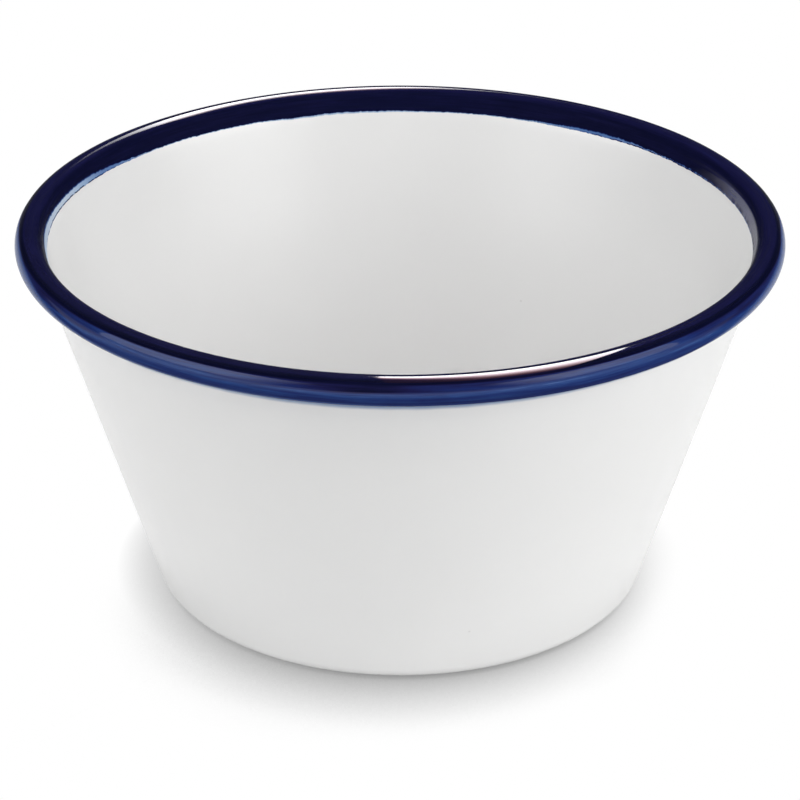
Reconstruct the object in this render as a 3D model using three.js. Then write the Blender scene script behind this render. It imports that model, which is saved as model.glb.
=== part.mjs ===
// A free-standing white melamine bowl with a straight conical wall and a round rim bead.
// The moulded shell carries the bead's core, and a coloured band is wrapped over that core.
// Units are millimetres, +Z is up, and the origin is the centre of the base on the table.

import * as THREE from "three";

// Driving dimensions of the whole bowl
const RIM_DIAMETER = 150; // across the outside of the finished rim bead
const BOWL_HEIGHT = 76; // from the table to the top of the rim bead
const BASE_DIAMETER = 97; // where the outside of the wall, drawn on, would meet the table
const BEAD_DIAMETER = 5.7; // thickness of the finished rim bead, band included

// Driving dimensions of the moulded shell
const WALL_THICKNESS = 2;
const FLOOR_THICKNESS = 2.6; // above the recess under the floor
const OUTER_CORNER_RADIUS = 4; // between the table and the outside of the wall
const INNER_CORNER_RADIUS = 8; // between the floor and the inside of the wall
const FOOT_RING_WIDTH = 5; // flat ring that the bowl stands on
const FOOT_RECESS_DEPTH = 0.8; // hollow inside the foot ring, with a flank at 45 degrees

// Driving dimensions of the coloured band
const BAND_THICKNESS = 0.5;
const BAND_DROP = 4.6; // from the top of the rim down to the band's lower edge inside the bowl
const BAND_CLEARANCE = 0.3; // between the band and the shell all along its seat

// Fineness of the round forms
const STEPS_AROUND = 72;
const STEPS_ON_BEAD = 16;
const STEPS_ON_CORNER = 6;

// Finishes
const MELAMINE_WHITE = { color: 0xf1f1ef, roughness: 0.32, metalness: 0 };
const RIM_BLUE = { color: 0x1b2350, roughness: 0.16, metalness: 0 };

// The section is drawn in a plane with x as the radius and y as the height.
const beadRadius = BEAD_DIAMETER / 2;
const beadCentre = new THREE.Vector2(RIM_DIAMETER / 2 - beadRadius, BOWL_HEIGHT - beadRadius);
const baseEdge = new THREE.Vector2(BASE_DIAMETER / 2, 0);

// The inside of the wall is tangent to the bead, so the outside passes this far inside its centre.
const outsideOffset = beadRadius - WALL_THICKNESS;
const baseToBead = beadCentre.clone().sub(baseEdge);
const wallLean = Math.atan2(baseToBead.x, baseToBead.y) - Math.asin(outsideOffset / baseToBead.length());
const upWall = new THREE.Vector2(Math.sin(wallLean), Math.cos(wallLean));
const outOfWall = new THREE.Vector2(upWall.y, -upWall.x);

// The band's seat: the bead's core, and the band's own inner face one clearance outside it.
const bandInnerRadius = beadRadius - BAND_THICKNESS;
const coreRadius = bandInnerRadius - BAND_CLEARANCE;
const bandFoot = (beadRadius * (1 - upWall.x) - BAND_DROP) / upWall.y;
const seatFoot = bandFoot - BAND_CLEARANCE;
const floorHeight = FOOT_RECESS_DEPTH + FLOOR_THICKNESS;

/** A point seen from the bead's centre: so far inwards, square to the wall, and so far up along it. */
function fromBead(inwards, up) {
  return beadCentre.clone().addScaledVector(outOfWall, -inwards).addScaledVector(upWall, up);
}

/** Points of an arc round the bead's centre, where angle 0 faces inwards and a quarter turn faces up. */
function beadArc(radius, fromAngle, toAngle) {
  const points = [];
  for (let step = 0; step <= STEPS_ON_BEAD; step += 1) {
    const angle = THREE.MathUtils.lerp(fromAngle, toAngle, step / STEPS_ON_BEAD);
    points.push(fromBead(radius * Math.cos(angle), radius * Math.sin(angle)));
  }
  return points;
}

/** The angle at which a circle round the bead's centre comes down to a line along the wall's outside. */
function angleAtWall(radius, inwards) {
  return 2 * Math.PI - Math.acos(inwards / radius);
}

/** The centre of a corner arc that touches a level plane and a line along the wall from below. */
function cornerCentre(radius, planeHeight, inwardsOfOutside) {
  const height = planeHeight + radius;
  const inwards = inwardsOfOutside + radius;
  return new THREE.Vector2(baseEdge.x + (height * upWall.x - inwards) / upWall.y, height);
}

/** Points of a corner arc, from its lowest point to where it runs into the wall. */
function cornerArc(centre, radius) {
  const points = [];
  for (let step = 0; step <= STEPS_ON_CORNER; step += 1) {
    const angle = THREE.MathUtils.lerp(-Math.PI / 2, -wallLean, step / STEPS_ON_CORNER);
    points.push(new THREE.Vector2(Math.cos(angle), Math.sin(angle)).multiplyScalar(radius).add(centre));
  }
  return points;
}

/** Turns a section about the vertical axis; it runs up the outside and down the inside. */
function turned(section) {
  return new THREE.LatheGeometry(section, STEPS_AROUND).rotateX(Math.PI / 2);
}

/** The shell in section: underside, outer wall, bead core, seat of the band, inner wall and floor. */
function shellSection() {
  const outerCorner = cornerCentre(OUTER_CORNER_RADIUS, 0, 0);
  const innerCorner = cornerCentre(INNER_CORNER_RADIUS, floorHeight, WALL_THICKNESS);
  const footInnerEdge = outerCorner.x - FOOT_RING_WIDTH;
  return [
    new THREE.Vector2(0, FOOT_RECESS_DEPTH),
    new THREE.Vector2(footInnerEdge - FOOT_RECESS_DEPTH, FOOT_RECESS_DEPTH),
    new THREE.Vector2(footInnerEdge, 0),
    ...cornerArc(outerCorner, OUTER_CORNER_RADIUS),
    ...beadArc(coreRadius, angleAtWall(coreRadius, outsideOffset), 0),
    fromBead(coreRadius, seatFoot),
    fromBead(beadRadius, seatFoot),
    ...cornerArc(innerCorner, INNER_CORNER_RADIUS).reverse(),
    new THREE.Vector2(0, floorHeight),
  ];
}

/** The band in section: over the bead from its outer lip, down the inside, and back along its seat. */
function bandSection() {
  const lipOffset = outsideOffset - BAND_CLEARANCE;
  const outerFace = beadArc(beadRadius, angleAtWall(beadRadius, lipOffset), 0);
  const innerFace = beadArc(bandInnerRadius, 0, angleAtWall(bandInnerRadius, lipOffset));
  return [
    ...outerFace,
    fromBead(beadRadius, bandFoot),
    fromBead(bandInnerRadius, bandFoot),
    ...innerFace,
    outerFace[0],
  ];
}

/** A named piece of the bowl with its own finish. */
function piece(name, section, finish) {
  const mesh = new THREE.Mesh(turned(section), new THREE.MeshStandardMaterial(finish));
  mesh.name = name;
  return mesh;
}

const bowl = new THREE.Group();
bowl.name = "bowl";
bowl.add(piece("bowl_shell", shellSection(), MELAMINE_WHITE));
bowl.add(piece("rim_band", bandSection(), RIM_BLUE));

export default bowl;
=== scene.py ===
"""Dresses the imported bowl: a white moulded shell, and the navy rim brushed over its bead, in a plain studio.

Everything is in metres in the frame of the part: +Z is up, and the origin is the centre of the base. A
section is drawn in the plane of X and Z, with X as the radius, and is turned about Z.
"""

import logging
import math
from collections.abc import Mapping, Sequence
from dataclasses import dataclass
from enum import Enum
from functools import cached_property
from itertools import zip_longest
from typing import Any

import bmesh
import bpy
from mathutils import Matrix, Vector, noise


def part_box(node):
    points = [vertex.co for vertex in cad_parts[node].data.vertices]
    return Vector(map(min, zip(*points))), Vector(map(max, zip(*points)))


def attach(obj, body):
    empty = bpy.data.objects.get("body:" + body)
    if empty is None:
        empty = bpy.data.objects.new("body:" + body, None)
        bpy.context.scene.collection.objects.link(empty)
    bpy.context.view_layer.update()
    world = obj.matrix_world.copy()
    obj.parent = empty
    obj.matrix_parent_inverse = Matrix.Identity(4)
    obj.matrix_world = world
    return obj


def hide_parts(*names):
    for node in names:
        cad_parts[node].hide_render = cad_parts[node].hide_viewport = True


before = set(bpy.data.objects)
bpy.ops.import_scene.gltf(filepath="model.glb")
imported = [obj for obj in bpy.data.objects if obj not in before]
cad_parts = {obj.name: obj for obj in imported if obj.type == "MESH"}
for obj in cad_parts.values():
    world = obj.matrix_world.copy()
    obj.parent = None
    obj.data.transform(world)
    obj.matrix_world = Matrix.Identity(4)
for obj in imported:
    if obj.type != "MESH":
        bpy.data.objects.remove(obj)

LOG = logging.getLogger("bowl")
MILLIMETRE = 0.001
FULL_TURN = 2 * math.pi
QUARTER_TURN = math.pi / 2
TURN_IN_DEGREES = 360.0
UP = Vector((0.0, 0.0, 1.0))
SECTION_NORMAL = Vector((0.0, -1.0, 0.0))
MERGE_DISTANCE = 2e-6
SECTORS = 16
NOISE_MIDDLE = 0.5
LEVEL = (1.0, 1.0, 0.0)
MIX_SOCKETS = (0, 6, 7)
MIX_RESULT = 2

Colour = tuple[float, float, float]
Stops = Sequence[tuple[float, Colour]]
Profile = Sequence[tuple[float, float]]

WHITE: Colour = (1.0, 1.0, 1.0)
BLACK: Colour = (0.0, 0.0, 0.0)


class CadNode(Enum):
    """The CAD nodes that the visual pieces stand for."""

    SHELL = "bowl_shell"
    BAND = "rim_band"


class Slot(Enum):
    """The record's material slots."""

    WHITE = "white_melamine"
    NAVY = "navy_rim"


class PaintPlace(Enum):
    """The attributes that tell the paint where it lies: on the band, and last on the shell."""

    ACROSS = "across"
    OUTSIDE_LOAD = "outside_load"
    DARK_EDGE = "dark_edge"
    WASH_COAT = "wash_coat"
    EDGE_OUTLINE = "edge_outline"
    PALE_EDGE = "pale_edge"
    # Inside gloss, whose share also pales the colour as a painted reflection of the white inside.
    INSIDE_GLAZE_AND_PAINTED_SHEEN = "inside_glaze_and_painted_sheen"
    OUTSIDE_GLAZE = "outside_glaze"
    GLAZE_START = "glaze_start"
    GLAZE_END = "glaze_end"
    BELOW_WASH = "below_wash"


class Value:
    """A number socket of a shader that takes part in Python expressions; each operator adds a Math node."""

    def __init__(self, sheet: "NodeSheet", socket: bpy.types.NodeSocket) -> None:
        """Wraps a socket of a sheet's nodes."""
        self.sheet = sheet
        self.socket = socket

    def _math(self, operation: str, *operands: "Value | float") -> "Value":
        """Adds a Math node on these operands."""
        made = self.sheet.add("ShaderNodeMath", dict(enumerate(operands)), operation=operation)
        return Value(self.sheet, made.outputs[0])

    def __add__(self, other: "Value | float") -> "Value":
        """This plus other."""
        return self._math("ADD", self, other)

    def __radd__(self, other: float) -> "Value":
        """Other plus this."""
        return self._math("ADD", other, self)

    def __sub__(self, other: "Value | float") -> "Value":
        """This minus other."""
        return self._math("SUBTRACT", self, other)

    def __rsub__(self, other: float) -> "Value":
        """Other minus this."""
        return self._math("SUBTRACT", other, self)

    def __mul__(self, other: "Value | float") -> "Value":
        """This times other."""
        return self._math("MULTIPLY", self, other)

    def __rmul__(self, other: float) -> "Value":
        """Other times this."""
        return self._math("MULTIPLY", other, self)

    def __truediv__(self, other: "Value | float") -> "Value":
        """This over other."""
        return self._math("DIVIDE", self, other)

    def at_most(self, other: "Value | float") -> "Value":
        """The smaller of this and other."""
        return self._math("MINIMUM", self, other)

    def at_least(self, other: "Value | float") -> "Value":
        """The larger of this and other."""
        return self._math("MAXIMUM", self, other)

    def rise(self, low: "Value | float", high: "Value | float") -> "Value":
        """A smooth step from 0 at low to 1 at high."""
        inputs = {"Value": self, "From Min": low, "From Max": high}
        return self.sheet.value("ShaderNodeMapRange", "Result", inputs, interpolation_type="SMOOTHSTEP")


class NodeSheet:
    """The nodes of one material, lamp or world."""

    def __init__(self, tree: bpy.types.NodeTree) -> None:
        """Takes an empty sheet over a tree."""
        self.tree = tree
        self.tree.nodes.clear()

    def add(
        self, kind: str, inputs: Mapping[str | int, Any] | None = None, **settings: Any
    ) -> bpy.types.Node:
        """Adds a node, its settings first and then its sockets.

        Args:
            kind: the node's type.
            inputs: what each socket takes, by its name or number: a number, a colour, a socket or a Value.
            settings: the node's own settings.

        Returns:
            The node.
        """
        node = self.tree.nodes.new(kind)
        for name, setting in settings.items():
            setattr(node, name, setting)
        for name, given in (inputs or {}).items():
            socket = node.inputs[name]
            source = given.socket if isinstance(given, Value) else given
            if isinstance(source, bpy.types.NodeSocket):
                self.tree.links.new(source, socket)
            elif socket.type == "RGBA":
                socket.default_value = (*source, 1.0)
            else:
                socket.default_value = source
        return node

    def value(
        self, kind: str, output: str, inputs: Mapping[str, Any] | None = None, **settings: Any
    ) -> Value:
        """Adds a node and wraps one of its outputs."""
        return Value(self, self.add(kind, inputs, **settings).outputs[output])

    def ramp(self, at: Value, stops: Stops) -> bpy.types.NodeSocket:
        """Reads a colour off a ramp.

        Args:
            at: the place on the ramp, from 0 to 1.
            stops: the ramp's colours, in rising order.

        Returns:
            The colour's socket.
        """
        node = self.add("ShaderNodeValToRGB", {"Fac": at})
        elements = node.color_ramp.elements
        while len(elements) < len(stops):
            elements.new(1.0)
        for element, (position, colour) in zip(elements, stops, strict=True):
            element.position = position
            element.color = (*colour, 1.0)
        return node.outputs["Color"]

    def blend(self, share: Value | float, low: Any, high: Any, how: str = "MIX") -> bpy.types.NodeSocket:
        """Mixes two colours.

        Args:
            share: how much of the second colour takes part, from 0 to 1.
            low: the first colour, or its socket.
            high: the second colour, or its socket.
            how: the way of mixing.

        Returns:
            The socket of the mixed colour.
        """
        inputs = dict(zip(MIX_SOCKETS, (share, low, high), strict=True))
        return self.add("ShaderNodeMix", inputs, data_type="RGBA", blend_type=how).outputs[MIX_RESULT]

    def bump(self, height: Value, depth: float) -> bpy.types.NodeSocket:
        """Turns a height from 0 to 1 into the normal of a relief that is so deep."""
        inputs = {"Strength": 1.0, "Distance": depth, "Height": height}
        return self.add("ShaderNodeBump", inputs).outputs["Normal"]

    def vector(self, operation: str, inputs: Mapping[str | int, Any]) -> bpy.types.NodeSocket:
        """Adds a Vector Math node and gives its vector."""
        return self.add("ShaderNodeVectorMath", inputs, operation=operation).outputs[0]

    def place(self) -> bpy.types.NodeSocket:
        """The piece's own coordinates, in metres."""
        return self.add("ShaderNodeTexCoord").outputs["Object"]

    def attribute(self, place: PaintPlace) -> Value:
        """Reads one of a piece's attributes."""
        return self.value("ShaderNodeAttribute", "Fac", attribute_name=place.value)

    def cloud(self, place: Any, scale: float = 1.0, detail: float = 2.0, roughness: float = 0.5) -> Value:
        """Noise from 0 to 1 over a place.

        Args:
            place: the vector socket to read.
            scale: the number of features along a unit of it.
            detail: the number of finer octaves.
            roughness: how strongly they show.

        Returns:
            The noise.
        """
        inputs = {"Vector": place, "Scale": scale, "Detail": detail, "Roughness": roughness}
        return self.value("ShaderNodeTexNoise", "Fac", inputs, noise_dimensions="3D")


def new_material(name: str) -> tuple[bpy.types.Material, NodeSheet]:
    """Makes a material.

    Args:
        name: the material's name.

    Returns:
        The material and its empty sheet of nodes.
    """
    made = bpy.data.materials.new(name)
    made.use_nodes = True
    return made, NodeSheet(made.node_tree)


@dataclass(frozen=True)
class WhiteMelamine:
    """Moulded white melamine: soft gloss, a faint cloud, a satin foot, and blue wash under the lip."""

    name: str = Slot.WHITE.value
    bright: Colour = (0.855, 0.855, 0.85)
    dull: Colour = (0.825, 0.825, 0.822)
    speck: Colour = (0.74, 0.735, 0.73)
    gloss_roughness: float = 0.22
    roughness_swing: float = 0.06
    specular_level: float = 0.60
    foot_roughness: float = 0.30
    foot_end: tuple[float, float] = (0.3 * MILLIMETRE, 0.9 * MILLIMETRE)
    cloud_scale: float = 34.0
    cloud_detail: float = 3.0
    patch_scale: float = 17.0
    patch_gaps: tuple[float, float] = (0.58, 0.62)
    speck_scale: float = 95.0
    speck_edge: tuple[float, float] = (0.015, 0.030)
    ripple_scale: float = 420.0
    ripple_depth: float = 0.004 * MILLIMETRE
    wash: Colour = (0.22, 0.32, 0.50)
    wash_fade: float = 0.95 * MILLIMETRE
    thick_wash: Colour = (0.016, 0.038, 0.16)
    thick_wash_end: tuple[float, float] = (-1.3 * MILLIMETRE, -0.1 * MILLIMETRE)
    wash_swing: float = 0.3 * MILLIMETRE
    wash_scale: float = 160.0

    def material(self) -> bpy.types.Material:
        """Makes the material.

        Returns:
            The white of the shell.
        """
        made, sheet = new_material(self.name)
        place = sheet.place()
        height = sheet.value("ShaderNodeSeparateXYZ", "Z", {"Vector": place})
        cloud = sheet.cloud(place, self.cloud_scale, self.cloud_detail)
        cells = {"Vector": place, "Scale": self.speck_scale}
        nearest = sheet.value("ShaderNodeTexVoronoi", "Distance", cells)
        patch = sheet.cloud(place, self.patch_scale)
        speck = (1 - nearest.rise(*self.speck_edge)) * patch.rise(*self.patch_gaps)
        white = sheet.blend(cloud, self.dull, self.bright)
        fraying = (sheet.cloud(place, self.wash_scale) - NOISE_MIDDLE) * self.wash_swing
        frayed = sheet.attribute(PaintPlace.BELOW_WASH) + fraying
        thin = sheet.blend(1 - frayed.rise(0.0, self.wash_fade), white, self.wash)
        washed = sheet.blend(1 - frayed.rise(*self.thick_wash_end), thin, self.thick_wash)
        foot = 1 - height.rise(*self.foot_end)
        roughness = self.gloss_roughness + cloud * self.roughness_swing + foot * self.foot_roughness
        shader = sheet.add(
            "ShaderNodeBsdfPrincipled",
            {
                "Base Color": sheet.blend(speck, washed, self.speck),
                "Roughness": roughness,
                "Specular IOR Level": self.specular_level,
                "Normal": sheet.bump(sheet.cloud(place, self.ripple_scale), self.ripple_depth),
            },
        )
        sheet.add("ShaderNodeOutputMaterial", {"Surface": shader.outputs["BSDF"]})
        return made


@dataclass(frozen=True)
class BrushMarks:
    """What the brush left at a place: how far across the band it lies, and three noises along the brush."""

    across: Value
    streaks: Value
    teeth: Value
    blots: Value


@dataclass(frozen=True)
class BrushedNavy:
    """Navy colour brushed along the rim: the thinner the coat, the bluer and paler it shows.

    The tones run from bare white to the thickest coat. The profiles of the coat and of its glaze are read at
    millimetres across the band.
    """

    span: float
    name: str = Slot.NAVY.value
    tones: Stops = (
        (0.0, (0.845, 0.85, 0.855)),
        (0.06, (0.60, 0.68, 0.78)),
        (0.14, (0.33, 0.45, 0.63)),
        (0.28, (0.085, 0.17, 0.40)),
        (0.45, (0.020, 0.054, 0.200)),
        (0.62, (0.0115, 0.022, 0.115)),
        (0.80, (0.0098, 0.0100, 0.055)),
        (0.92, (0.0050, 0.0058, 0.029)),
        (1.0, (0.0028, 0.0036, 0.018)),
    )
    coat: Profile = (
        (0.0, 0.92), (4.2, 0.92), (4.9, 0.84), (7.2, 0.82), (7.7, 0.98), (8.5, 0.98), (8.75, 0.55),
        (10.4, 0.48), (11.5, 0.57), (12.3, 0.63), (17.0, 0.64),
    )
    glaze: Profile = (
        (0.0, 1.4), (7.9, 1.4), (8.2, 0.0), (8.55, 0.0), (8.8, 0.56), (10.2, 0.48), (11.0, 0.05),
        (17.0, 0.0),
    )
    glaze_rise: float = 0.8 * MILLIMETRE
    glaze_fade: float = 0.4 * MILLIMETRE
    inside_end: tuple[float, float] = (2.7 * MILLIMETRE, 3.5 * MILLIMETRE)
    # How far the inside share pales the colour: a painted reflection of the white inside.
    inside_painted_sheen: float = 0.30
    pale_fade: float = 0.6 * MILLIMETRE
    pale_reach: float = 3.5 * MILLIMETRE
    pale_coat: tuple[float, float] = (0.46, 0.38)
    pale_glaze: float = 0.50
    pale_glaze_rise: float = 1.5 * MILLIMETRE
    load_start: tuple[float, float] = (8.4 * MILLIMETRE, 8.7 * MILLIMETRE)
    load_end: tuple[float, float] = (9.8 * MILLIMETRE, 10.5 * MILLIMETRE)
    glaze_swing: float = 0.5
    streaks_around: float = 6.0
    streak_width: float = 0.55 * MILLIMETRE
    streak_detail: float = 4.0
    streak_swing: float = 0.65
    streak_free_coat: float = 1.25
    marks_roughness: float = 0.6
    teeth_around: float = 60.0
    teeth_detail: float = 3.0
    teeth_reach: float = 0.8 * MILLIMETRE
    least_teeth: float = 0.3
    edge_blur: float = 0.08 * MILLIMETRE
    edge_blur_growth: float = 0.16
    outline_reach: tuple[float, float] = (0.20 * MILLIMETRE, 0.36 * MILLIMETRE)
    outline_gaps: tuple[float, float] = (0.42, 0.50)
    outline_coat: float = 0.85
    blots_around: float = 34.0
    blot_gaps: tuple[float, float] = (0.46, 0.56)
    blot_reach: tuple[float, float] = (0.5 * MILLIMETRE, 1.5 * MILLIMETRE)
    blot_share: float = 0.55
    roughness: float = 0.22
    roughness_swing: float = 0.10
    specular_level: float = 0.002
    glaze_roughness: float = 0.04
    glaze_index: float = 1.7
    groove_depth: float = 0.004 * MILLIMETRE

    def material(self) -> bpy.types.Material:
        """Makes the material.

        Returns:
            The navy of the rim.
        """
        made, sheet = new_material(self.name)
        marks = self._marks(sheet)
        shader = sheet.add(
            "ShaderNodeBsdfPrincipled",
            {
                "Base Color": sheet.ramp(self._coat(marks), self.tones),
                "Roughness": self.roughness + marks.streaks * self.roughness_swing,
                "Specular IOR Level": self.specular_level,
                "Coat Weight": self._gloss(marks),
                "Coat Roughness": self.glaze_roughness,
                "Coat IOR": self.glaze_index,
                "Normal": sheet.bump(marks.streaks, self.groove_depth),
            },
        )
        sheet.add("ShaderNodeOutputMaterial", {"Surface": shader.outputs["BSDF"]})
        return made

    def _marks(self, sheet: NodeSheet) -> BrushMarks:
        """Reads what the brush left; the streaks are long along the rim and short across it.

        Args:
            sheet: the material's nodes.

        Returns:
            The marks.
        """
        across = sheet.attribute(PaintPlace.ACROSS)
        level = sheet.vector("MULTIPLY", {0: sheet.place(), 1: LEVEL})
        around = sheet.vector("NORMALIZE", {0: level})
        long = sheet.vector("SCALE", {0: around, "Scale": self.streaks_around})
        short = sheet.add("ShaderNodeCombineXYZ", {"Z": across / self.streak_width})
        way = sheet.vector("ADD", {0: long, 1: short.outputs[0]})
        return BrushMarks(
            across,
            streaks=sheet.cloud(way, detail=self.streak_detail, roughness=self.marks_roughness),
            teeth=sheet.cloud(around, self.teeth_around, self.teeth_detail, self.marks_roughness),
            blots=sheet.cloud(around, self.blots_around),
        )

    def _gloss(self, marks: BrushMarks) -> Value:
        """How strongly the colour's glaze mirrors, from 0 to 1.

        Args:
            marks: what the brush left.

        Returns:
            The weight of the glaze.
        """
        across = marks.across
        sheet = across.sheet
        start = sheet.attribute(PaintPlace.GLAZE_START)
        end = sheet.attribute(PaintPlace.GLAZE_END)
        within = across.rise(start, start + self.glaze_rise) * (1 - across.rise(end, end + self.glaze_fade))
        outside = sheet.attribute(PaintPlace.OUTSIDE_GLAZE) * self._along(across, self.glaze)
        brushed = 1 + (marks.streaks - NOISE_MIDDLE) * self.glaze_swing
        lip = sheet.attribute(PaintPlace.PALE_EDGE)
        pale = across.rise(lip, lip + self.pale_glaze_rise) * self.pale_glaze
        return (outside * within * brushed + self._inside_gloss_and_painted_sheen(marks) + pale).at_most(1.0)

    def _inside_gloss_and_painted_sheen(self, marks: BrushMarks) -> Value:
        """How glossy the colour is on the inside of the rim, from 0 to 1; the same share pales it there as a
        painted reflection of the white inside.

        Args:
            marks: what the brush left.

        Returns:
            The share.
        """
        near_edge = 1 - marks.across.rise(*self.blot_reach)
        blots = marks.blots.rise(*self.blot_gaps) * near_edge * self.blot_share
        glossy = marks.across.sheet.attribute(PaintPlace.INSIDE_GLAZE_AND_PAINTED_SHEEN)
        return glossy * (1 - marks.across.rise(*self.inside_end)) * (1 - blots)

    def _along(self, across: Value, profile: Profile) -> Value:
        """Reads a profile, whose heights stand at millimetres across the band."""
        stops = [(at * MILLIMETRE / self.span, (height, height, height)) for at, height in profile]
        return Value(across.sheet, across.sheet.ramp(across / self.span, stops))

    def _coat(self, marks: BrushMarks) -> Value:
        """How thick the colour lies, from 0 for bare white to 1.

        Args:
            marks: what the brush left.

        Returns:
            The coat.
        """
        across = marks.across
        sheet = across.sheet
        # The inside share thins the coat here: a painted reflection of the white inside on the glaze.
        laid = self._along(across, self.coat) - self._inside_gloss_and_painted_sheen(marks) * self.inside_painted_sheen
        outside = across.rise(*self.load_start) * (1 - across.rise(*self.load_end))
        load = sheet.attribute(PaintPlace.OUTSIDE_LOAD) * outside
        streaks = (marks.streaks - NOISE_MIDDLE) * self.streak_swing * (self.streak_free_coat - laid)
        body = laid + (1 - laid) * load + streaks
        lip = sheet.attribute(PaintPlace.PALE_EDGE)
        thick, thin = self.pale_coat
        pale = thick - across.rise(lip, lip + self.pale_reach) * (thick - thin)
        body = body - across.rise(lip, lip + self.pale_fade) * (body - pale)
        wash = sheet.attribute(PaintPlace.WASH_COAT)
        edge = sheet.attribute(PaintPlace.DARK_EDGE)
        outline = sheet.attribute(PaintPlace.EDGE_OUTLINE)
        frayed = across + (marks.teeth - NOISE_MIDDLE) * self.teeth_reach * (outline + self.least_teeth)
        blur = self.edge_blur + edge * self.edge_blur_growth
        dark = frayed.rise(edge - blur, edge + blur)
        broken = marks.blots.rise(*self.outline_gaps) * (1 - across.rise(*self.outline_reach))
        return (wash + dark * (body - wash)).at_least(outline * broken * self.outline_coat)


def in_section(point: Vector) -> Vector:
    """Where a point of a turned form lies in the plane of the section."""
    return Vector((math.hypot(point.x, point.y), 0.0, point.z))


@dataclass(frozen=True)
class BowlForm:
    """The bowl's section. The overall sizes come from the part's rim band, and the others repeat the part's
    own.
    """

    rim_radius: float
    height: float
    base_radius: float = 48.5 * MILLIMETRE
    bead_radius: float = 2.85 * MILLIMETRE
    wall: float = 2.0 * MILLIMETRE
    floor_height: float = 3.4 * MILLIMETRE
    outer_corner: float = 4.0 * MILLIMETRE
    inner_corner: float = 8.0 * MILLIMETRE
    foot_ring: float = 5.0 * MILLIMETRE
    foot_recess: float = 0.8 * MILLIMETRE
    band_drop: float = 4.6 * MILLIMETRE

    @cached_property
    def bead_centre(self) -> Vector:
        """The centre of the rim's bead."""
        return Vector((self.rim_radius - self.bead_radius, 0.0, self.height - self.bead_radius))

    @cached_property
    def outside_offset(self) -> float:
        """How far inside the bead's centre the outside of the wall passes, square to the wall."""
        return self.bead_radius - self.wall

    @cached_property
    def lean(self) -> float:
        """The wall's lean out of the upright."""
        run = self.bead_centre - Vector((self.base_radius, 0.0, 0.0))
        return math.atan2(run.x, run.z) - math.asin(self.outside_offset / run.length)

    @cached_property
    def up_wall(self) -> Vector:
        """The direction up along the wall."""
        return Vector((math.sin(self.lean), 0.0, math.cos(self.lean)))

    @cached_property
    def out_of_wall(self) -> Vector:
        """The direction square to the wall, outwards."""
        return Vector((math.cos(self.lean), 0.0, -math.sin(self.lean)))

    @cached_property
    def recess_corners(self) -> tuple[Vector, Vector]:
        """The section's corners at the end of the foot's recess: at its roof, and at the ground."""
        inside = self.corner_centre(self.outer_corner, 0.0, 0.0).x - self.foot_ring
        return Vector((inside - self.foot_recess, 0.0, self.foot_recess)), Vector((inside, 0.0, 0.0))

    @cached_property
    def band_foot(self) -> float:
        """How far up the wall from the bead's centre the band's inner edge lies; below 0."""
        drop_of_centre = self.bead_radius * (1 - self.up_wall.x)
        return (drop_of_centre - self.band_drop) / self.up_wall.z

    @cached_property
    def band_span(self) -> float:
        """The width of the band's outer face, from its inner edge over the bead to its lip."""
        return self.bead_radius * self.angle_at_wall(self.bead_radius, 0.0) - self.band_foot

    def from_bead(self, inwards: float, up: float) -> Vector:
        """A point so far inwards of the bead's centre, square to the wall, and so far up along the wall."""
        return self.bead_centre - self.out_of_wall * inwards + self.up_wall * up

    def angle_at_wall(self, radius: float, clearance: float) -> float:
        """The angle round the bead, from inwards over the top, at which a circle comes down to the wall.

        Args:
            radius: the circle's radius.
            clearance: how far outside the wall it stops.

        Returns:
            The angle, over half a turn.
        """
        return FULL_TURN - math.acos((self.outside_offset - clearance) / radius)

    def corner_centre(self, radius: float, plane_height: float, inwards: float) -> Vector:
        """The centre of a corner arc that touches a level plane and a line along the wall.

        Args:
            radius: the arc's radius.
            plane_height: the height of the plane.
            inwards: how far inside the outside of the wall the line runs.

        Returns:
            The centre.
        """
        height = plane_height + radius
        reach = (height * self.up_wall.x - (inwards + radius)) / self.up_wall.z
        return Vector((self.base_radius + reach, 0.0, height))

    def across_band(self, point: Vector) -> float:
        """How far across the band a point lies, from the inner edge up the wall and over the bead.

        Args:
            point: the point, in the plane of the section.

        Returns:
            The distance along the band's outer face.
        """
        from_centre = point - self.bead_centre
        inwards = -from_centre.dot(self.out_of_wall)
        up = from_centre.dot(self.up_wall)
        if up < 0 and inwards > self.bead_radius / 2:
            return up - self.band_foot
        return math.atan2(up, inwards) % FULL_TURN * self.bead_radius - self.band_foot

    def below_lip(self, point: Vector) -> float:
        """How far down the outside of the wall a point lies from the band's lip.

        Args:
            point: the point, in the plane of the section.

        Returns:
            The distance down the wall, or the bowl's height for a point on the inside.
        """
        from_centre = point - self.bead_centre
        if -from_centre.dot(self.out_of_wall) > self.outside_offset + self.wall / 2:
            return self.height
        lip = self.bead_radius * math.sin(self.angle_at_wall(self.bead_radius, 0.0))
        return lip - from_centre.dot(self.up_wall)


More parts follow.
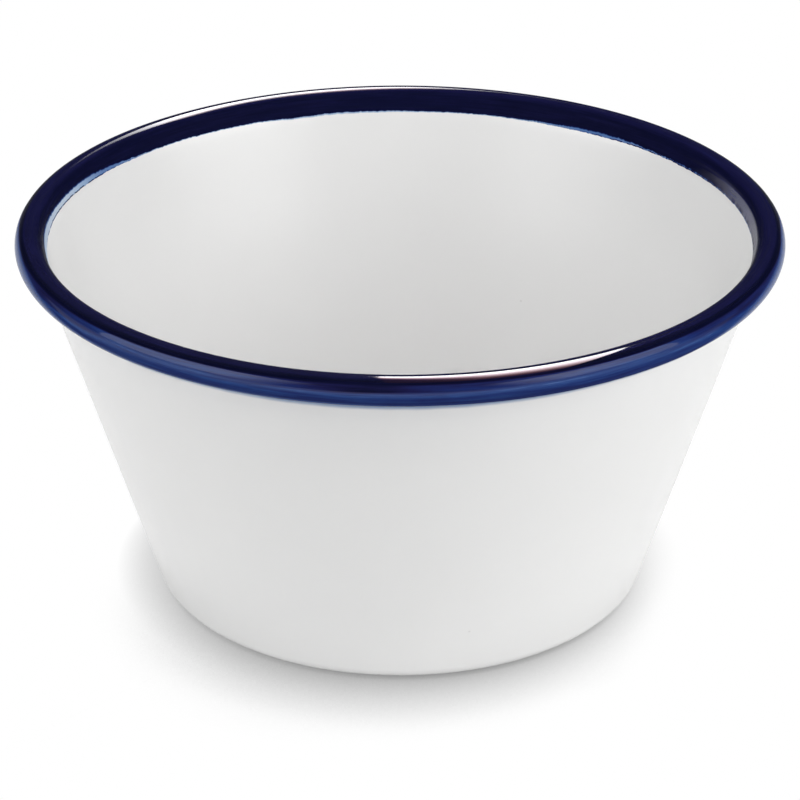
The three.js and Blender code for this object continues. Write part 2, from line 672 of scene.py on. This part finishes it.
class SectionPen:
    """Draws a section as a chain of edges, and turns it about the bowl's axis."""

    def __init__(self, start: Vector) -> None:
        """Sets the pen down."""
        self.mesh = bmesh.new()
        self.tip = bmesh.ops.create_vert(self.mesh, co=start)["vert"][0]

    def line(self, end: Vector, rows: int = 1) -> None:
        """Draws a straight run.

        Args:
            end: where it ends.
            rows: the number of edges that it has.
        """
        step = (end - self.tip.co) / rows
        for _ in range(rows):
            self.tip = bmesh.ops.extrude_vert_indiv(self.mesh, verts=[self.tip])["verts"][0]
            bmesh.ops.translate(self.mesh, verts=[self.tip], vec=step)

    def arc(self, centre: Vector, turn: float, rows: int) -> None:
        """Draws an arc on from the tip.

        Args:
            centre: the arc's centre.
            turn: its angle, from X towards Z.
            rows: the number of edges that it has.
        """
        made = bmesh.ops.spin(
            self.mesh, geom=[self.tip], cent=centre, axis=SECTION_NORMAL, angle=turn, steps=rows
        )
        self.tip = next(part for part in made["geom_last"] if isinstance(part, bmesh.types.BMVert))

    def turn(self, steps: int) -> bmesh.types.BMesh:
        """Turns the section into a closed form: one sector of it first, which is then repeated all round.

        Args:
            steps: the number of steps round the axis.

        Returns:
            The form, with its faces outwards.
        """
        sector = FULL_TURN / SECTORS
        bmesh.ops.spin(
            self.mesh,
            geom=[*self.mesh.verts, *self.mesh.edges],
            axis=UP,
            angle=sector,
            steps=steps // SECTORS,
        )
        bmesh.ops.spin(
            self.mesh,
            geom=[*self.mesh.verts, *self.mesh.edges, *self.mesh.faces],
            axis=UP,
            angle=FULL_TURN - sector,
            steps=SECTORS - 1,
            use_duplicate=True,
        )
        bmesh.ops.remove_doubles(self.mesh, verts=self.mesh.verts, dist=MERGE_DISTANCE)
        bmesh.ops.recalc_face_normals(self.mesh, faces=self.mesh.faces)
        return self.mesh


def finish_piece(
    name: str, form: bmesh.types.BMesh, node: CadNode, crease: float
) -> bpy.types.Object:
    """Makes a form into a smooth-shaded object that stands for a CAD node.

    Args:
        name: the piece's name.
        form: its mesh, which is freed.
        node: the CAD node that it replaces.
        crease: the angle between faces from which their edge stays sharp.

    Returns:
        The object, riding on the part's one body.
    """
    for face in form.faces:
        face.smooth = True
    for edge in form.edges:
        edge.smooth = edge.calc_face_angle(0.0) < crease
    mesh = bpy.data.meshes.new(name)
    form.to_mesh(mesh)
    form.free()
    piece = bpy.data.objects.new(name, mesh)
    bpy.context.scene.collection.objects.link(piece)
    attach(piece, "root")
    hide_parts(node.value)
    return piece


def smooth_step(share: float) -> float:
    """A smooth rise from 0 at 0 to 1 at 1, and level beyond."""
    held = min(max(share, 0.0), 1.0)
    return held * held * (3 - 2 * held)


@dataclass(frozen=True)
class BrushLap:
    """A stretch of the rim where the brush left more or less colour."""

    azimuth: float
    spread: float
    strength: float

    def at(self, azimuth: float) -> float:
        """The lap's strength at an azimuth, in degrees from +X."""
        away = math.remainder(azimuth - self.azimuth, TURN_IN_DEGREES)
        return self.strength * math.exp(-((away / self.spread) ** 2))


@dataclass(frozen=True)
class BrushLaps:
    """A measure of the paint round the rim: its usual level, and the laps that the brush added."""

    level: float
    laps: Sequence[BrushLap]

    @classmethod
    def of(cls, level: float, *laps: tuple[float, float, float], unit: float = 1.0) -> "BrushLaps":
        """Notes a measure down.

        Args:
            level: its usual level.
            laps: the azimuth, spread and strength of each lap.
            unit: the unit of the level and of the strengths.

        Returns:
            The measure.
        """
        added = [BrushLap(azimuth, spread, strength * unit) for azimuth, spread, strength in laps]
        return cls(level * unit, tuple(added))

    def at(self, azimuth: float) -> float:
        """The measure at an azimuth, in degrees from +X."""
        return self.level + sum(lap.at(azimuth) for lap in self.laps)


@dataclass
class MouldedShell:
    """The white moulding: foot ring, wall, floor and the bead's core, which the navy band covers."""

    form: BowlForm
    finish: WhiteMelamine
    name: str = "moulded_shell"
    coat: float = 0.06 * MILLIMETRE
    core_depth: float = 0.30 * MILLIMETRE
    core_foot: float = 0.8 * MILLIMETRE
    core_slope: float = 0.4 * MILLIMETRE
    foot_round: float = 0.35 * MILLIMETRE
    steps_around: int = 256
    wall_rows: int = 24
    corner_rows: int = 20
    core_rows: int = 18
    floor_rows: int = 6
    foot_round_rows: int = 3
    crease: float = math.radians(38.0)
    wash_edge: BrushLaps = BrushLaps.of(2.08, (-145.0, 14.0, 0.9), (-35.0, 14.0, 0.9), unit=MILLIMETRE)

    def build(self) -> bpy.types.Object:
        """Builds and dresses the shell.

        Returns:
            The finished piece.
        """
        pen = self._underside_and_wall()
        self._core_and_inside(pen)
        turned = pen.turn(self.steps_around)
        self._mark_wash(turned)
        self._round_foot(turned)
        piece = finish_piece(self.name, turned, CadNode.SHELL, self.crease)
        piece.data.materials.append(self.finish.material())
        return piece

    def _underside_and_wall(self) -> SectionPen:
        """Draws the section from the middle of the underside to the bead.

        Returns:
            The pen, at the top of the wall's outside.
        """
        form = self.form
        corner = form.corner_centre(form.outer_corner, 0.0, 0.0)
        roof, ground = form.recess_corners
        pen = SectionPen(Vector((0.0, 0.0, form.foot_recess)))
        pen.line(roof, self.floor_rows)
        pen.line(ground)
        pen.line(Vector((corner.x, 0.0, 0.0)))
        pen.arc(corner, QUARTER_TURN - form.lean, self.corner_rows)
        core = form.bead_radius - self.core_depth
        drop = math.sqrt(core**2 - form.outside_offset**2)
        pen.line(form.from_bead(form.outside_offset, -drop), self.wall_rows)
        return pen

    def _core_and_inside(self, pen: SectionPen) -> None:
        """Draws the section on over the bead's core and down the inside.

        Args:
            pen: the pen at the top of the wall's outside.
        """
        form = self.form
        core = form.bead_radius - self.core_depth
        inside = form.bead_radius - self.coat
        corner = form.corner_centre(form.inner_corner, form.floor_height, form.wall - self.coat)
        pen.arc(form.bead_centre, form.angle_at_wall(core, 0.0), self.core_rows)
        pen.line(form.from_bead(core, -self.core_foot))
        pen.line(form.from_bead(inside, -self.core_foot - self.core_slope))
        pen.line(corner + form.out_of_wall * form.inner_corner, self.wall_rows)
        pen.arc(corner, form.lean - QUARTER_TURN, self.corner_rows)
        pen.line(Vector((0.0, 0.0, form.floor_height)), self.floor_rows)

    def _mark_wash(self, turned: bmesh.types.BMesh) -> None:
        """Gives every vertex its distance below the thin wash that ran out under the band's lip.

        Args:
            turned: the shell's mesh.
        """
        layer = turned.verts.layers.float.new(PaintPlace.BELOW_WASH.value)
        for vert in turned.verts:
            azimuth = math.degrees(math.atan2(vert.co.y, vert.co.x))
            vert[layer] = self.form.below_lip(in_section(vert.co)) - self.wash_edge.at(azimuth)

    def _round_foot(self, turned: bmesh.types.BMesh) -> None:
        """Rounds the two edges of the recess inside the foot ring.

        Args:
            turned: the shell's mesh.
        """
        edges = [
            edge
            for edge in turned.edges
            if any(
                all((in_section(vert.co) - corner).length < self.coat for vert in edge.verts)
                for corner in self.form.recess_corners
            )
        ]
        bmesh.ops.bevel(
            turned,
            geom=edges,
            offset=self.foot_round,
            affect="EDGES",
            segments=self.foot_round_rows,
            profile=0.5,
            material=-1,
        )


@dataclass
class RimBand:
    """The navy coat over the bead, with a clean lip outside and a hand-brushed edge inside.

    The edge's rows, their rounding and the depths of the wanders are in millimetres.
    """

    form: BowlForm
    finish: BrushedNavy
    name: str = "brushed_rim"
    film: float = 0.25 * MILLIMETRE
    edge_film: float = 0.055 * MILLIMETRE
    lip_clearance: float = 0.02 * MILLIMETRE
    edge_rows: Sequence[float] = (0.03, 0.08, 0.16, 0.28, 0.46, 0.72, 1.10, 1.60)
    edge_round: Sequence[float] = (0.032, 0.010)
    taper_foot: float = 0.75 * MILLIMETRE
    taper: float = 0.4 * MILLIMETRE
    wander_reach: float = 2.4 * MILLIMETRE
    wanders: Sequence[tuple[float, float]] = ((9.0, 0.06), (34.0, 0.08), (95.0, 0.12), (210.0, 0.08))
    wander_seed: float = 4.7
    steps_around: int = 1600
    straight_rows: int = 2
    bead_rows: int = 28
    seat_rows: int = 14
    crease: float = math.radians(50.0)
    edge_lift: BrushLaps = BrushLaps.of(
        0.25, (168.0, 20.0, 0.50), (60.0, 14.0, -0.12), (10.0, 25.0, 0.18), (108.0, 5.0, -0.33),
        (91.0, 12.0, -0.20), (-100.0, 30.0, 0.25), unit=MILLIMETRE,
    )
    dark_edge: BrushLaps = BrushLaps.of(
        0.16, (52.0, 11.0, 0.60), (28.0, 10.0, 0.25), (100.0, 14.0, 0.20), (180.0, 18.0, 2.25),
        (157.0, 10.0, 1.20), (-70.0, 18.0, 0.60), unit=MILLIMETRE,
    )
    wash_coat: BrushLaps = BrushLaps.of(
        0.12, (54.0, 15.0, 0.16), (150.0, 9.0, 0.16), (20.0, 16.0, 0.24), (168.0, 18.0, -0.04),
        (-70.0, 18.0, 0.12),
    )
    edge_outline: BrushLaps = BrushLaps.of(
        0.0, (163.0, 18.0, 1.0), (44.0, 14.0, 0.8), (22.0, 14.0, 0.8), (-60.0, 14.0, 1.0),
    )
    pale_edge: BrushLaps = BrushLaps.of(
        13.2, (-105.0, 22.0, -0.9), (-50.0, 16.0, 0.8), (-135.0, 14.0, -1.0), (-160.0, 16.0, -3.4),
        (180.0, 16.0, -4.0), (-20.0, 24.0, -3.7), (0.0, 14.0, -3.0), unit=MILLIMETRE,
    )
    # Where the inside is glazed, and paled as a painted reflection of the white inside.
    inside_glaze_and_painted_sheen: BrushLaps = BrushLaps.of(0.0, (2.0, 14.0, 0.75), (15.0, 8.0, 0.40))
    outside_glaze: BrushLaps = BrushLaps.of(
        0.03, (100.0, 22.0, 0.70), (125.0, 13.0, 0.70), (-102.0, 58.0, 0.90),
    )
    glaze_start: BrushLaps = BrushLaps.of(5.7, (98.0, 20.0, -0.8), (135.0, 20.0, -1.1), unit=MILLIMETRE)
    glaze_end: BrushLaps = BrushLaps.of(6.3, (-92.0, 48.0, 13.0), (100.0, 18.0, -0.5), unit=MILLIMETRE)
    outside_load: BrushLaps = BrushLaps.of(
        0.0, (-97.0, 10.0, 0.40), (-88.0, 20.0, 0.38), (180.0, 26.0, 0.5), (10.0, 26.0, 0.5),
        (75.0, 18.0, 0.4), (-32.0, 14.0, 0.40), (-152.0, 12.0, 0.35),
    )

    def build(self) -> bpy.types.Object:
        """Builds and dresses the band.

        Returns:
            The finished piece.
        """
        turned = self._section().turn(self.steps_around)
        self._mark_and_wander(turned)
        piece = finish_piece(self.name, turned, CadNode.BAND, self.crease)
        piece.data.materials.append(self.finish.material())
        return piece

    def _section(self) -> SectionPen:
        """Draws the band's section: its brushed edge, its outer face, its lip and its seat.

        Returns:
            The pen, back at the start.
        """
        form = self.form
        radius, foot = form.bead_radius, form.band_foot
        seat = radius - self.film
        edge_seat = form.from_bead(radius - self.edge_film, foot)
        pen = SectionPen(edge_seat)
        for height, sunk in zip_longest(self.edge_rows, self.edge_round, fillvalue=0.0):
            pen.line(form.from_bead(radius - sunk * MILLIMETRE, foot + height * MILLIMETRE))
        pen.line(form.from_bead(radius, 0.0), self.straight_rows)
        pen.arc(form.bead_centre, -form.angle_at_wall(radius, self.lip_clearance), self.bead_rows)
        lip = form.angle_at_wall(seat, self.lip_clearance)
        pen.line(form.from_bead(seat * math.cos(lip), seat * math.sin(lip)))
        pen.arc(form.bead_centre, lip, self.seat_rows)
        pen.line(form.from_bead(seat, -self.taper_foot))
        pen.line(form.from_bead(radius - self.edge_film, -self.taper_foot - self.taper))
        pen.line(edge_seat)
        return pen

    def _mark_and_wander(self, turned: bmesh.types.BMesh) -> None:
        """Gives every vertex its place in the paint, and lets the brushed edge wander.

        Args:
            turned: the band's mesh.
        """
        measures = {
            PaintPlace.OUTSIDE_LOAD: self.outside_load,
            PaintPlace.DARK_EDGE: self.dark_edge,
            PaintPlace.WASH_COAT: self.wash_coat,
            PaintPlace.EDGE_OUTLINE: self.edge_outline,
            PaintPlace.PALE_EDGE: self.pale_edge,
            PaintPlace.INSIDE_GLAZE_AND_PAINTED_SHEEN: self.inside_glaze_and_painted_sheen,
            PaintPlace.OUTSIDE_GLAZE: self.outside_glaze,
            PaintPlace.GLAZE_START: self.glaze_start,
            PaintPlace.GLAZE_END: self.glaze_end,
        }
        layers = {
            place: turned.verts.layers.float.new(place.value) for place in (PaintPlace.ACROSS, *measures)
        }
        for vert in turned.verts:
            point = in_section(vert.co)
            azimuth = math.atan2(vert.co.y, vert.co.x)
            across = self.form.across_band(point)
            vert[layers[PaintPlace.ACROSS]] = across
            for place, laps in measures.items():
                vert[layers[place]] = laps.at(math.degrees(azimuth))
            shift = self._wander(azimuth) * (1 - smooth_step(across / self.wander_reach))
            out = self.form.up_wall.x * shift / point.x
            vert.co += Vector((vert.co.x * out, vert.co.y * out, self.form.up_wall.z * shift))

    def _wander(self, azimuth: float) -> float:
        """How far up the wall the brushed edge strays at an azimuth.

        Args:
            azimuth: the angle from +X.

        Returns:
            The distance, below 0 for a drip.
        """
        away = Vector((math.cos(azimuth), math.sin(azimuth), 0.0))
        seed = Vector((0.0, 0.0, self.wander_seed))
        return self.edge_lift.at(math.degrees(azimuth)) + sum(
            noise.noise(away * waves + seed * (turn + 1)) * depth * MILLIMETRE
            for turn, (waves, depth) in enumerate(self.wanders)
        )


@dataclass(frozen=True)
class SoftBox:
    """A rectangular studio lamp, which lights the bowl, or else only shows in its gloss.

    Its sides are tinted from its own -X to +X. Its tints run inwards from the end at -Y, which may be cut
    on a slant: from cut_width, a share of the width, the cut deepens towards -X. Angles are in degrees.
    """

    name: str
    place: tuple[float, float, float]
    pitch: float
    turn: float
    width: float
    depth: float
    radiance: float
    tints: Stops = ((0.0, WHITE), (1.0, WHITE))
    sides: Stops = ((0.0, WHITE), (1.0, WHITE))
    cut_width: float = 0.0
    cut_slope: float = 0.0
    mirror_only: bool = False

    def set_up(self) -> None:
        """Sets the lamp up: facing down, then pitched towards +Y and turned about the upright."""
        light = bpy.data.lights.new(self.name, "AREA")
        light.shape = "RECTANGLE"
        light.size = self.width
        light.size_y = self.depth
        light.energy = self.radiance * math.pi * self.width * self.depth
        self._tint(light)
        lamp = bpy.data.objects.new(self.name, light)
        lamp.location = self.place
        lamp.rotation_euler = (math.radians(self.pitch), 0.0, math.radians(self.turn))
        lamp.visible_diffuse = not self.mirror_only
        lamp.visible_glossy = self.mirror_only
        bpy.context.scene.collection.objects.link(lamp)

    def _tint(self, light: bpy.types.AreaLight) -> None:
        """Gives the lamp its sides, its tints and its cut.

        Args:
            light: the lamp's data.
        """
        light.use_nodes = True
        sheet = NodeSheet(light.node_tree)
        way = sheet.add("ShaderNodeTexCoord").outputs["UV"]
        parts = sheet.add("ShaderNodeSeparateXYZ", {"Vector": way})
        sideways = Value(sheet, parts.outputs["X"])
        cut = (self.cut_width - sideways).at_least(0.0) * self.cut_slope
        inwards = Value(sheet, parts.outputs["Y"]) - cut
        tint, side = sheet.ramp(inwards, self.tints), sheet.ramp(sideways, self.sides)
        glow = sheet.add("ShaderNodeEmission", {"Color": sheet.blend(1.0, tint, side, "MULTIPLY")})
        sheet.add("ShaderNodeOutputLight", {"Surface": glow.outputs[0]})


@dataclass(frozen=True)
class PaintedFloorShadow:
    """One share of the bowl's painted floor shadow: its reach, and the lean, in degrees, of the light that it
    hides.
    """

    gain: float
    reach: float
    lean_back: float
    lean_right: float

    def painted_open_share(self, sheet: NodeSheet) -> Value:
        """How much of the floor this painted shadow leaves open, read from ambient occlusion.

        Args:
            sheet: the floor's nodes.

        Returns:
            The share, from 0 to 1.
        """
        right, back = (math.tan(math.radians(lean)) for lean in (self.lean_right, self.lean_back))
        way = Vector((right, back, 1.0)).normalized()
        lean = sheet.add("ShaderNodeCombineXYZ", dict(enumerate(way)))
        return sheet.value(
            "ShaderNodeAmbientOcclusion", "AO", {"Distance": self.reach, "Normal": lean.outputs[0]}
        )


@dataclass(frozen=True)
class PaleFloor:
    """The plain floor: grey paper to the lamps, and white with the bowl's painted shadow to the eye and in
    gloss.
    """

    name: str = "pale_floor"
    reach: float = 4.0
    gap: float = 0.02 * MILLIMETRE
    tint: Colour = (0.86, 0.86, 0.86)
    mottle: Colour = (0.84, 0.84, 0.84)
    mottle_scale: float = 6.0
    deepest_painted_shadow: float = -0.231
    # The shares of the bowl's painted shadow on the floor.
    painted_shadows: Sequence[PaintedFloorShadow] = (
        PaintedFloorShadow(1.267, 50.0 * MILLIMETRE, lean_back=65.0, lean_right=55.0),
        PaintedFloorShadow(0.68, 25.0 * MILLIMETRE, lean_back=30.0, lean_right=-40.0),
    )
    # A painted contact shadow close round the foot.
    contact_painted_shadow: PaintedFloorShadow = PaintedFloorShadow(0.60, 9.0 * MILLIMETRE, lean_back=-50.0, lean_right=30.0)

    def lay(self) -> None:
        """Lays the floor."""
        plane = bmesh.new()
        bmesh.ops.create_grid(plane, x_segments=1, y_segments=1, size=self.reach)
        bmesh.ops.translate(plane, verts=plane.verts, vec=UP * -self.gap)
        mesh = bpy.data.meshes.new(self.name)
        plane.to_mesh(mesh)
        plane.free()
        mesh.materials.append(self._material())
        floor = bpy.data.objects.new(self.name, mesh)
        bpy.context.scene.collection.objects.link(floor)

    def _material(self) -> bpy.types.Material:
        """The floor's paper.

        Returns:
            The material, whose glow, with the bowl's painted shadow in it, reaches the eye and reflections
            alone.
        """
        made, sheet = new_material(self.name)
        mottle = sheet.cloud(sheet.place(), self.mottle_scale)
        paper = sheet.add("ShaderNodeBsdfDiffuse", {"Color": sheet.blend(mottle, self.tint, self.mottle)})
        # The bowl's shadow is painted into the floor's glow by ambient occlusion; no lamp casts it.
        painted_shadow_sum = sum((shade.painted_open_share(sheet) * shade.gain for shade in self.painted_shadows), self.deepest_painted_shadow)
        painted_floor_light = painted_shadow_sum.at_least(0.0).at_most(1.0)
        # A painted contact shadow, strongest where the floor is otherwise white.
        painted_contact_share = (1 - self.contact_painted_shadow.painted_open_share(sheet)) * self.contact_painted_shadow.gain * painted_floor_light * painted_floor_light
        shown = sheet.blend(painted_floor_light * (1 - painted_contact_share), BLACK, WHITE)
        glow = sheet.add("ShaderNodeEmission", {"Color": shown})
        path = sheet.add("ShaderNodeLightPath").outputs
        seen = Value(sheet, path["Is Camera Ray"]) + Value(sheet, path["Is Glossy Ray"])
        both = sheet.add("ShaderNodeMixShader", {0: seen, 1: paper.outputs[0], 2: glow.outputs[0]})
        sheet.add("ShaderNodeOutputMaterial", {"Surface": both.outputs[0]})
        return made


@dataclass(frozen=True)
class StudioRoom:
    """The world round the floor: pale at the horizon, dim above."""

    name: str = "studio_room"
    pale: float = 0.90
    dim: float = 0.03
    pale_below: float = 0.10
    dim_above: float = 0.16

    def hang(self) -> None:
        """Makes the world and sets it on the scene."""
        world = bpy.data.worlds.new(self.name)
        world.use_nodes = True
        sheet = NodeSheet(world.node_tree)
        way = sheet.add("ShaderNodeTexCoord").outputs["Generated"]
        height = sheet.value("ShaderNodeSeparateXYZ", "Z", {"Vector": way})
        strength = self.pale + height.rise(self.pale_below, self.dim_above) * (self.dim - self.pale)
        light = sheet.add("ShaderNodeBackground", {"Strength": strength})
        sheet.add("ShaderNodeOutputWorld", {"Surface": light.outputs[0]})
        bpy.context.scene.world = world


@dataclass
class Studio:
    """Floor, room, lamps and the camera at the photograph's angle.

    The strip and the two sheens show in the gloss alone, and the boxes and fills light alone. Each sheen
    stands just before its box, so that a reflection meets it first.
    """

    floor: PaleFloor
    room: StudioRoom
    lamps: Sequence[SoftBox] = (
        SoftBox(
            "overhead_strip", (0.140, 0.946, 1.017), pitch=19.0, turn=0.0,
            width=0.33, depth=2.48, radiance=13.0, cut_width=0.46, cut_slope=0.34, mirror_only=True,
            tints=(
                (0.0, (0.01, 0.003, 0.003)), (0.053, (0.026, 0.010, 0.011)), (0.087, (0.06, 0.025, 0.027)),
                (0.129, (0.17, 0.095, 0.10)), (0.184, (0.44, 0.31, 0.32)), (0.257, (0.79, 0.645, 0.665)),
                (0.34, (0.96, 0.85, 0.875)), (0.414, (1.0, 0.97, 0.98)), (1.0, WHITE),
            ),
        ),
        SoftBox(
            "left_sheen", (-0.845, -0.445, 0.593), pitch=61.3, turn=-62.2,
            width=1.25, depth=0.745, radiance=2.0, mirror_only=True,
            sides=((0.0, WHITE), (0.65, WHITE), (1.0, BLACK)),
        ),
        SoftBox(
            "right_sheen", (0.813, -0.538, 0.556), pitch=63.5, turn=56.5,
            width=1.10, depth=0.65, radiance=2.9, mirror_only=True,
            sides=((0.0, BLACK), (0.35, WHITE), (1.0, WHITE)),
        ),
        SoftBox(
            "left_box", (-0.854, -0.450, 0.598), pitch=61.3, turn=-62.2,
            width=1.25, depth=0.745, radiance=1.79,
        ),
        SoftBox(
            "right_box", (0.821, -0.543, 0.561), pitch=63.5, turn=56.5,
            width=1.10, depth=0.65, radiance=2.84,
        ),
        SoftBox(
            "high_fill", (0.0, -0.610, 1.440), pitch=24.0, turn=0.0,
            width=1.20, depth=0.50, radiance=4.79,
        ),
        SoftBox(
            "left_fill", (-1.267, -0.111, 0.340), pitch=78.0, turn=-85.0,
            width=0.60, depth=0.90, radiance=0.64,
        ),
        SoftBox(
            "right_fill", (1.267, -0.111, 0.340), pitch=78.0, turn=85.0,
            width=0.60, depth=0.90, radiance=1.43,
        ),
        SoftBox(
            "back_fill", (0.0, 1.358, 0.409), pitch=76.0, turn=180.0,
            width=0.90, depth=0.60, radiance=3.0,
        ),
    )
    lens: float = 150.54
    sensor: float = 36.0
    camera_distance: float = 0.6704
    camera_elevation: float = math.radians(25.947)
    camera_target: tuple[float, float, float] = (0.0, 0.0, 0.03624)

    def set_up(self) -> None:
        """Sets the studio up round the bowl."""
        self.floor.lay()
        self.room.hang()
        for lamp in self.lamps:
            lamp.set_up()
        self._camera()
        bpy.context.scene.view_settings.view_transform = "Standard"

    def _camera(self) -> None:
        """Sets up the camera and makes it the scene's own."""
        data = bpy.data.cameras.new("camera")
        data.lens = self.lens
        data.sensor_width = self.sensor
        camera = bpy.data.objects.new("camera", data)
        back = Vector((0.0, -math.cos(self.camera_elevation), math.sin(self.camera_elevation)))
        camera.location = Vector(self.camera_target) + back * self.camera_distance
        camera.rotation_euler = (-back).to_track_quat("-Z", "Y").to_euler()
        bpy.context.scene.collection.objects.link(camera)
        bpy.context.scene.camera = camera


def main() -> None:
    logging.basicConfig(level=logging.INFO, format="%(name)s: %(message)s")
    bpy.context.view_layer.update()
    band_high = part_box(CadNode.BAND.value)[1]
    form = BowlForm(rim_radius=band_high.x, height=band_high.z)
    Studio(PaleFloor(), StudioRoom()).set_up()
    shell = MouldedShell(form, WhiteMelamine())
    band = RimBand(form, BrushedNavy(form.band_span))
    for builder in (shell, band):
        piece = builder.build()
        LOG.info("%s: %d faces", piece.name, len(piece.data.polygons))


if __name__ == "__main__":
    main()
